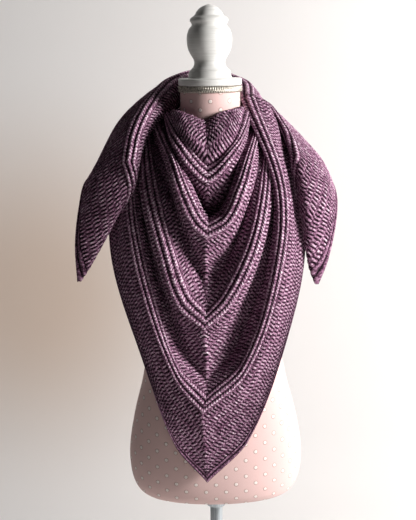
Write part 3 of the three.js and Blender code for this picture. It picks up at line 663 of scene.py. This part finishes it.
# two rows of plaits all round the braid, each row half a plait on from the other
def braidRing():
    bm = turn(form["braid"], neckLevel, 0, form["braidSteps"])
    for v in bm.verts:
        way = math.atan2(v.co.y, v.co.x)
        upper = v.co.z > (neckLevel + form["braidMiddle"]) * mm
        swell = abs(math.sin(form["plaits"] / 2 * way + (math.pi / 2 if upper else 0)))
        out = Vector((v.co.x, v.co.y, 0)).normalized()
        if out.dot(v.co) > form["plaitsFrom"] * mm:
            v.co += out * form["plaitHeight"] * swell * mm
    return bm


# the padded torso: rings of rounded sections, closed by a disc at the neck and one underneath
def formBody():
    bm = bmesh.new()
    spread = np.linspace(0, 1, form["levels"])
    levels = np.interp(spread, [0, form["mainLevels"], 1],
                       [formSections[0, 0], form["turnsUnder"], formSections[-1, 0]])
    half, frontDepth, backDepth, square = formAt(levels)
    made = bmesh.ops.create_circle(bm, segments=form["around"], radius=1)
    ring = list(made["verts"])
    edges = bm.edges[:]
    angles = {v: math.atan2(v.co.y, v.co.x) for v in ring}
    levelOf = dict.fromkeys(ring, 0)
    for n, level in enumerate(levels):
        if n:
            grown = bmesh.ops.extrude_edge_only(bm, edges=edges)["geom"]
            older = {(round(v.co.x, 7), round(v.co.y, 7)): angles[v] for v in ring}
            ring = [g for g in grown if isinstance(g, bmesh.types.BMVert)]
            edges = [g for g in grown if isinstance(g, bmesh.types.BMEdge)]
            for v in ring:
                angles[v] = older[(round(v.co.x, 7), round(v.co.y, 7))]
                levelOf[v] = n
        for v in ring:
            c, s = math.cos(angles[v]), math.sin(angles[v])
            power = 2 / square[n]
            depth = frontDepth[n] if s < 0 else backDepth[n]
            v.co = Vector((math.copysign(abs(c) ** power, c) * half[n],
                           math.copysign(abs(s) ** power, s) * depth, neckLevel + level)) * mm
    bmesh.ops.holes_fill(bm, edges=[e for e in bm.edges if e.is_boundary], sides=0)
    bmesh.ops.recalc_face_normals(bm, faces=bm.faces[:])
    # the jersey is cut as a front and a back, each laid out from its own middle round to the side seams
    quarter = np.linspace(0, math.pi / 2, 61)
    rounds = {}
    for n in range(len(levels)):
        for isFront, depth in ((True, frontDepth[n]), (False, backDepth[n])):
            x = np.sin(quarter) ** (2 / square[n]) * half[n]
            y = np.cos(quarter) ** (2 / square[n]) * depth
            rounds[n, isFront] = np.concatenate([[0], np.cumsum(np.hypot(np.diff(x), np.diff(y)))]) * mm
    jersey = bm.loops.layers.uv.new("jersey")
    for face in bm.faces:
        isFront = face.calc_center_median().y < 0
        for loop in face.loops:
            v = loop.vert
            if len(face.verts) > 4:
                loop[jersey].uv = (v.co.x, v.co.y)
            else:
                way = math.atan2(abs(math.cos(angles[v])), abs(math.sin(angles[v])))
                run = np.interp(way, quarter, rounds[levelOf[v], isFront])
                loop[jersey].uv = (math.copysign(run, v.co.x), v.co.z - form["dotLevel"])
    bmesh.ops.triangulate(bm, faces=[f for f in bm.faces if len(f.verts) > 4])
    return bm


finishPiece(formBody(), "formBody", makeJersey(), "form_body")
finishPiece(braidRing(), "formNeckBraid", braided, "form_neck_braid")
finishPiece(turn(form["cap"], neckLevel, 0.7), "formNeckCap", painted, "form_neck_cap")
finial = form["finialFoot"] + smoothProfile(form["finialCurve"], form["finialSteps"])
finishPiece(turn(finial, neckLevel, 0), "formFinial", painted, "form_finial")
print("form made")

stand = {
    "torsoBottom": neckLevel + formSections[-1, 0],
    "socket": [(0, -24), (17, -24), (20, -21), (22, -4), (30, -0.3), (0, -0.3)],
    "poleFoot": 14.3,
    "pole": [(0, 0), (12.5, 0), (12.5, 368.4), (0, 368.4)],
    "base": [(0, 0), (168, 0), (170, 3), (170, 8), (164, 11), (60, 14), (0, 14)],
}
socket = turn(stand["socket"], stand["torsoBottom"], 0.8)
finishPiece(socket, "standSocket", steel, "stand_socket")
finishPiece(turn(stand["pole"], stand["poleFoot"], 0.6), "standPole", steel, "stand_pole")
finishPiece(turn(stand["base"], 0, 0.8), "standBase", enamel, "stand_base")
print("stand made")

# shade is the colour of a painted shadow of the form on the wall, darkest at patch and fading out between
# patchFrom and patchTo, in metres
room = {
    "wall": "#e6e5e4", "shade": "#c9b9ac",
    "patch": (-0.46, 0.75, 0.66), "patchFrom": 0.05, "patchTo": 0.62,
    "wallAway": 0.75,     # from the pole to the wall behind it
    "floorAhead": 3.5,    # from the pole to the floor's front edge
    "bend": 0.35,         # radius of the round corner between floor and wall
    "wallHeight": 3.5, "width": 8.0, "steps": 40,
}


# floor and wall in one sheet, with a round corner between them
def makeRoom():
    # matt emulsion: no shine, and a warmer, greyer patch to the left that is painted shadow, the form's soft
    # shadow where the window's light falls off
    material, tree, shader = newMaterial("matt emulsion wall", Roughness=0.9, Specular_IOR_Level=0.2)
    place = addNode(tree, "ShaderNodeTexCoord", {}, {}).outputs["Object"]
    away = addNode(tree, "ShaderNodeVectorMath", {"operation": "DISTANCE"}, {0: place, 1: room["patch"]})
    tone = addNode(tree, "ShaderNodeMapRange", {"interpolation_type": "SMOOTHSTEP"}, {
        "Value": away.outputs["Value"], "From Min": room["patchFrom"],
        "From Max": room["patchTo"]}).outputs[0]
    colour = addNode(tree, "ShaderNodeValToRGB", {"stops": [(0.0, room["shade"]), (1.0, room["wall"])]},
                     {"Fac": tone})
    tree.links.new(colour.outputs[0], shader.inputs["Base Color"])
    # seen from behind the wall is clear, so that the back of the form can be looked at
    behind = addNode(tree, "ShaderNodeNewGeometry", {}, {}).outputs["Backfacing"]
    clear = addNode(tree, "ShaderNodeBsdfTransparent", {}, {})
    sides = addNode(tree, "ShaderNodeMixShader", {}, {0: behind, 1: shader.outputs[0], 2: clear.outputs[0]})
    tree.links.new(sides.outputs[0], tree.nodes["Material Output"].inputs["Surface"])
    bm = bmesh.new()
    bmesh.ops.create_grid(bm, x_segments=1, y_segments=room["steps"], size=0.5)
    bend = room["bend"]
    floorLength = room["floorAhead"] + room["wallAway"] - bend
    corner = bend * math.pi / 2
    for v in bm.verts:
        run = (v.co.y + 0.5) * (floorLength + corner + room["wallHeight"])
        x = v.co.x * room["width"]
        if run < floorLength:
            v.co = Vector((x, run - room["floorAhead"], 0))
        elif run < floorLength + corner:
            way = (run - floorLength) / bend
            v.co = Vector((x, room["wallAway"] - bend + math.sin(way) * bend, (1 - math.cos(way)) * bend))
        else:
            v.co = Vector((x, room["wallAway"], bend + run - floorLength - corner))
    bm.normal_update()
    if max(bm.faces, key=lambda f: f.calc_center_median().z).normal.y > 0:
        bmesh.ops.reverse_faces(bm, faces=bm.faces[:])
    mesh = bpy.data.meshes.new("wallAndFloor")
    bm.to_mesh(mesh)
    bm.free()
    mesh.polygons.foreach_set("use_smooth", [True] * len(mesh.polygons))
    mesh.materials.append(material)
    wall = bpy.data.objects.new("wallAndFloor", mesh)
    scene.collection.objects.link(wall)


def addLight(name, place, aim, size, power, code):
    lamp = bpy.data.lights.new(name, "AREA")
    lamp.shape = "DISK"
    lamp.size = size
    lamp.energy = power
    lamp.color = linearColour(code)[:3]
    holder = bpy.data.objects.new(name, lamp)
    holder.location = place
    holder.rotation_euler = (Vector(aim) - Vector(place)).to_track_quat("-Z", "Y").to_euler()
    scene.collection.objects.link(holder)


# a window on the right gives nearly all the light, and a faint lamp lifts the wall beside it
makeRoom()
addLight("windowRight", (2.45, -1.0, 1.7), (0, 0, 0.95), 0.9, 134, "#fffcfa")
addLight("wallWash", (1.9, -0.5, 2.3), (1.1, 0.75, 0.9), 1.0, 2, "#ffffff")

# the air is pale to the camera past the wall's edges, and gives the object hardly any light
air = {"colour": "#f3f1f1", "light": 0.02, "seen": 0.75}
world = bpy.data.worlds.new("studio")
world.use_nodes = True
background = world.node_tree.nodes["Background"]
background.inputs["Color"].default_value = linearColour(air["colour"])
seen = addNode(world.node_tree, "ShaderNodeLightPath", {}, {}).outputs["Is Camera Ray"]
glow = addNode(world.node_tree, "ShaderNodeMath", {"operation": "MULTIPLY_ADD"}, {
    0: seen, 1: air["seen"], 2: air["light"]})
world.node_tree.links.new(glow.outputs[0], background.inputs["Strength"])
scene.world = world
scene.view_settings.view_transform = "Standard"

# the photo's camera: metres from the pole's foot, degrees down and tilted sideways, lens in mm
view = {"place": (-0.009, -2.3, 1.324), "down": 10.7, "tilt": -0.9, "sensor": 36, "lens": 82.9}
camera = bpy.data.objects.new("camera", bpy.data.cameras.new("camera"))
scene.collection.objects.link(camera)
camera.data.sensor_width = view["sensor"]
camera.data.lens = view["lens"]
down = Matrix.Rotation(math.radians(90 - view["down"]), 4, "X")
tilt = Matrix.Rotation(math.radians(view["tilt"]), 4, "Z")
camera.matrix_world = Matrix.Translation(view["place"]) @ down @ tilt
scene.camera = camera
print("scene ready")
